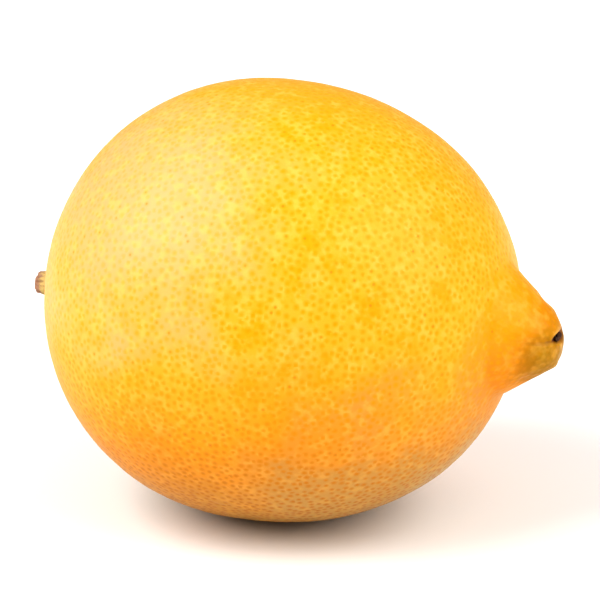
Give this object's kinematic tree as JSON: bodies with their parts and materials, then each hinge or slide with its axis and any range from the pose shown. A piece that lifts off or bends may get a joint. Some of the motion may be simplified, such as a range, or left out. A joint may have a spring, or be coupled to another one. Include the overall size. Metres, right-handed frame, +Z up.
{
  "type": "lemon",
  "caption": "Whole ripe lemon lying on its side, a fresh fruit with a blunt nipple at one end and a short woody stem stub at the other.",
  "frame": {"origin": "middle of the small flat that the fruit rests on, straight below its widest section", "axes": "+X along the fruit's long axis from the cut stem to the nipple, +Z up"},
  "size_m": [0.0781, 0.062, 0.0615],
  "materials": {
    "peel": "satin",
    "dry_sepal": "matte",
    "stem_wood": "matte",
    "style_scab": "matte"
  },
  "bodies": {
    "root": {"fruit": "peel", "calyx": "dry_sepal", "stem_stub": "stem_wood", "style_remnant": "style_scab"}
  },
  "joints": []
}
